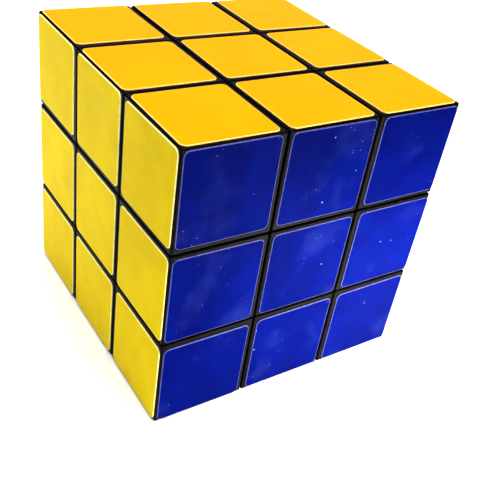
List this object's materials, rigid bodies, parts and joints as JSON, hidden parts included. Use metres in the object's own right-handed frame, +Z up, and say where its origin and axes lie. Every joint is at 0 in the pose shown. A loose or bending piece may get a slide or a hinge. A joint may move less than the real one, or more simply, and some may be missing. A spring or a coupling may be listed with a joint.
{
  "type": "twisty cube puzzle",
  "caption": "Solved twisty cube: hollow black pieces with coloured stickers that turn face by face on a sprung core.",
  "frame": {"origin": "centre of the core, which is the centre of the cube", "axes": "+Z up through the orange face; the blue front face looks along -Y, the yellow left face along -X"},
  "size_m": [0.0574, 0.0574, 0.0574],
  "materials": {
    "black_plastic": "moulded black ABS, satin gloss",
    "core_plastic": "moulded black ABS, matt",
    "screw_steel": "zinc plated steel",
    "spring_steel": "drawn spring wire",
    "sticker_orange": "printed vinyl, gloss",
    "sticker_yellow": "printed vinyl, gloss",
    "sticker_blue": "printed vinyl, gloss",
    "sticker_red": "printed vinyl, gloss",
    "sticker_green": "printed vinyl, gloss",
    "sticker_white": "printed vinyl, gloss"
  },
  "bodies": {
    "core": {"core": "core_plastic", "core_screws": "screw_steel", "spring_washers": "screw_steel", "tension_springs": "spring_steel"},
    "centre_top": {"centre_top": "black_plastic", "stickers_centre_top": "sticker_orange"},
    "centre_front": {"centre_front": "black_plastic", "stickers_centre_front": "sticker_blue"},
    "centre_left": {"centre_left": "black_plastic", "stickers_centre_left": "sticker_yellow"},
    "centre_right": {"centre_right": "black_plastic", "stickers_centre_right": "sticker_white"},
    "centre_back": {"centre_back": "black_plastic", "stickers_centre_back": "sticker_green"},
    "centre_bottom": {"centre_bottom": "black_plastic", "stickers_centre_bottom": "sticker_red"},
    "edge_top_front": {"edge_top_front": "black_plastic", "stickers_edge_top_front": "sticker_orange"},
    "edge_top_left": {"edge_top_left": "black_plastic", "stickers_edge_top_left": "sticker_orange"},
    "edge_top_right": {"edge_top_right": "black_plastic", "stickers_edge_top_right": "sticker_orange"},
    "edge_top_back": {"edge_top_back": "black_plastic", "stickers_edge_top_back": "sticker_orange"},
    "edge_front_left": {"edge_front_left": "black_plastic", "stickers_edge_front_left": "sticker_blue"},
    "edge_front_right": {"edge_front_right": "black_plastic", "stickers_edge_front_right": "sticker_blue"},
    "edge_back_left": {"edge_back_left": "black_plastic", "stickers_edge_back_left": "sticker_yellow"},
    "edge_back_right": {"edge_back_right": "black_plastic", "stickers_edge_back_right": "sticker_white"},
    "edge_bottom_front": {"edge_bottom_front": "black_plastic", "stickers_edge_bottom_front": "sticker_blue"},
    "edge_bottom_left": {"edge_bottom_left": "black_plastic", "stickers_edge_bottom_left": "sticker_yellow"},
    "edge_bottom_right": {"edge_bottom_right": "black_plastic", "stickers_edge_bottom_right": "sticker_white"},
    "edge_bottom_back": {"edge_bottom_back": "black_plastic", "stickers_edge_bottom_back": "sticker_green"},
    "corner_top_front_left": {"corner_top_front_left": "black_plastic", "stickers_corner_top_front_left": "sticker_orange"},
    "corner_top_front_right": {"corner_top_front_right": "black_plastic", "stickers_corner_top_front_right": "sticker_orange"},
    "corner_top_back_left": {"corner_top_back_left": "black_plastic", "stickers_corner_top_back_left": "sticker_orange"},
    "corner_top_back_right": {"corner_top_back_right": "black_plastic", "stickers_corner_top_back_right": "sticker_orange"},
    "corner_bottom_front_left": {"corner_bottom_front_left": "black_plastic", "stickers_corner_bottom_front_left": "sticker_blue"},
    "corner_bottom_front_right": {"corner_bottom_front_right": "black_plastic", "stickers_corner_bottom_front_right": "sticker_blue"},
    "corner_bottom_back_left": {"corner_bottom_back_left": "black_plastic", "stickers_corner_bottom_back_left": "sticker_yellow"},
    "corner_bottom_back_right": {"corner_bottom_back_right": "black_plastic", "stickers_corner_bottom_back_right": "sticker_white"}
  },
  "joints": [
    {"name": "top_turn", "type": "hinge", "parent": "core", "child": "centre_top", "pos_m": [0, 0, 0], "axis": [0, 0, -1], "continuous": true},
    {"name": "front_turn", "type": "hinge", "parent": "core", "child": "centre_front", "pos_m": [0, 0, 0], "axis": [0, 1, 0], "continuous": true},
    {"name": "left_turn", "type": "hinge", "parent": "core", "child": "centre_left", "pos_m": [0, 0, 0], "axis": [1, 0, 0], "continuous": true},
    {"name": "right_turn", "type": "hinge", "parent": "core", "child": "centre_right", "pos_m": [0, 0, 0], "axis": [-1, 0, 0], "continuous": true},
    {"name": "back_turn", "type": "hinge", "parent": "core", "child": "centre_back", "pos_m": [0, 0, 0], "axis": [0, -1, 0], "continuous": true},
    {"name": "bottom_turn", "type": "hinge", "parent": "core", "child": "centre_bottom", "pos_m": [0, 0, 0], "axis": [0, 0, 1], "continuous": true},
    {"name": "edge_top_front_with_top", "type": "hinge", "parent": "centre_front", "child": "edge_top_front", "pos_m": [0, 0, 0], "axis": [0, 0, -1], "continuous": true},
    {"name": "edge_top_left_with_left", "type": "hinge", "parent": "centre_top", "child": "edge_top_left", "pos_m": [0, 0, 0], "axis": [1, 0, 0], "continuous": true},
    {"name": "edge_top_right_with_right", "type": "hinge", "parent": "centre_top", "child": "edge_top_right", "pos_m": [0, 0, 0], "axis": [-1, 0, 0], "continuous": true},
    {"name": "edge_top_back_with_top", "type": "hinge", "parent": "centre_back", "child": "edge_top_back", "pos_m": [0, 0, 0], "axis": [0, 0, -1], "continuous": true},
    {"name": "edge_front_left_with_front", "type": "hinge", "parent": "centre_left", "child": "edge_front_left", "pos_m": [0, 0, 0], "axis": [0, 1, 0], "continuous": true},
    {"name": "edge_front_right_with_front", "type": "hinge", "parent": "centre_right", "child": "edge_front_right", "pos_m": [0, 0, 0], "axis": [0, 1, 0], "continuous": true},
    {"name": "edge_back_left_with_back", "type": "hinge", "parent": "centre_left", "child": "edge_back_left", "pos_m": [0, 0, 0], "axis": [0, -1, 0], "continuous": true},
    {"name": "edge_back_right_with_back", "type": "hinge", "parent": "centre_right", "child": "edge_back_right", "pos_m": [0, 0, 0], "axis": [0, -1, 0], "continuous": true},
    {"name": "edge_bottom_front_with_bottom", "type": "hinge", "parent": "centre_front", "child": "edge_bottom_front", "pos_m": [0, 0, 0], "axis": [0, 0, 1], "continuous": true},
    {"name": "edge_bottom_left_with_left", "type": "hinge", "parent": "centre_bottom", "child": "edge_bottom_left", "pos_m": [0, 0, 0], "axis": [1, 0, 0], "continuous": true},
    {"name": "edge_bottom_right_with_right", "type": "hinge", "parent": "centre_bottom", "child": "edge_bottom_right", "pos_m": [0, 0, 0], "axis": [-1, 0, 0], "continuous": true},
    {"name": "edge_bottom_back_with_bottom", "type": "hinge", "parent": "centre_back", "child": "edge_bottom_back", "pos_m": [0, 0, 0], "axis": [0, 0, 1], "continuous": true},
    {"name": "corner_top_front_left_with_left", "type": "hinge", "parent": "edge_top_front", "child": "corner_top_front_left", "pos_m": [0, 0, 0], "axis": [1, 0, 0], "continuous": true},
    {"name": "corner_top_front_right_with_right", "type": "hinge", "parent": "edge_top_front", "child": "corner_top_front_right", "pos_m": [0, 0, 0], "axis": [-1, 0, 0], "continuous": true},
    {"name": "corner_top_back_left_with_left", "type": "hinge", "parent": "edge_top_back", "child": "corner_top_back_left", "pos_m": [0, 0, 0], "axis": [1, 0, 0], "continuous": true},
    {"name": "corner_top_back_right_with_right", "type": "hinge", "parent": "edge_top_back", "child": "corner_top_back_right", "pos_m": [0, 0, 0], "axis": [-1, 0, 0], "continuous": true},
    {"name": "corner_bottom_front_left_with_left", "type": "hinge", "parent": "edge_bottom_front", "child": "corner_bottom_front_left", "pos_m": [0, 0, 0], "axis": [1, 0, 0], "continuous": true},
    {"name": "corner_bottom_front_right_with_right", "type": "hinge", "parent": "edge_bottom_front", "child": "corner_bottom_front_right", "pos_m": [0, 0, 0], "axis": [-1, 0, 0], "continuous": true},
    {"name": "corner_bottom_back_left_with_left", "type": "hinge", "parent": "edge_bottom_back", "child": "corner_bottom_back_left", "pos_m": [0, 0, 0], "axis": [1, 0, 0], "continuous": true},
    {"name": "corner_bottom_back_right_with_right", "type": "hinge", "parent": "edge_bottom_back", "child": "corner_bottom_back_right", "pos_m": [0, 0, 0], "axis": [-1, 0, 0], "continuous": true}
  ],
  "couplings": [
    {"joint": "edge_top_front_with_top", "follows": "top_turn", "ratio": 1},
    {"joint": "edge_top_left_with_left", "follows": "left_turn", "ratio": 1},
    {"joint": "edge_top_right_with_right", "follows": "right_turn", "ratio": 1},
    {"joint": "edge_top_back_with_top", "follows": "top_turn", "ratio": 1},
    {"joint": "edge_front_left_with_front", "follows": "front_turn", "ratio": 1},
    {"joint": "edge_front_right_with_front", "follows": "front_turn", "ratio": 1},
    {"joint": "edge_back_left_with_back", "follows": "back_turn", "ratio": 1},
    {"joint": "edge_back_right_with_back", "follows": "back_turn", "ratio": 1},
    {"joint": "edge_bottom_front_with_bottom", "follows": "bottom_turn", "ratio": 1},
    {"joint": "edge_bottom_left_with_left", "follows": "left_turn", "ratio": 1},
    {"joint": "edge_bottom_right_with_right", "follows": "right_turn", "ratio": 1},
    {"joint": "edge_bottom_back_with_bottom", "follows": "bottom_turn", "ratio": 1},
    {"joint": "corner_top_front_left_with_left", "follows": "left_turn", "ratio": 1},
    {"joint": "corner_top_front_right_with_right", "follows": "right_turn", "ratio": 1},
    {"joint": "corner_top_back_left_with_left", "follows": "left_turn", "ratio": 1},
    {"joint": "corner_top_back_right_with_right", "follows": "right_turn", "ratio": 1},
    {"joint": "corner_bottom_front_left_with_left", "follows": "left_turn", "ratio": 1},
    {"joint": "corner_bottom_front_right_with_right", "follows": "right_turn", "ratio": 1},
    {"joint": "corner_bottom_back_left_with_left", "follows": "left_turn", "ratio": 1},
    {"joint": "corner_bottom_back_right_with_right", "follows": "right_turn", "ratio": 1}
  ]
}
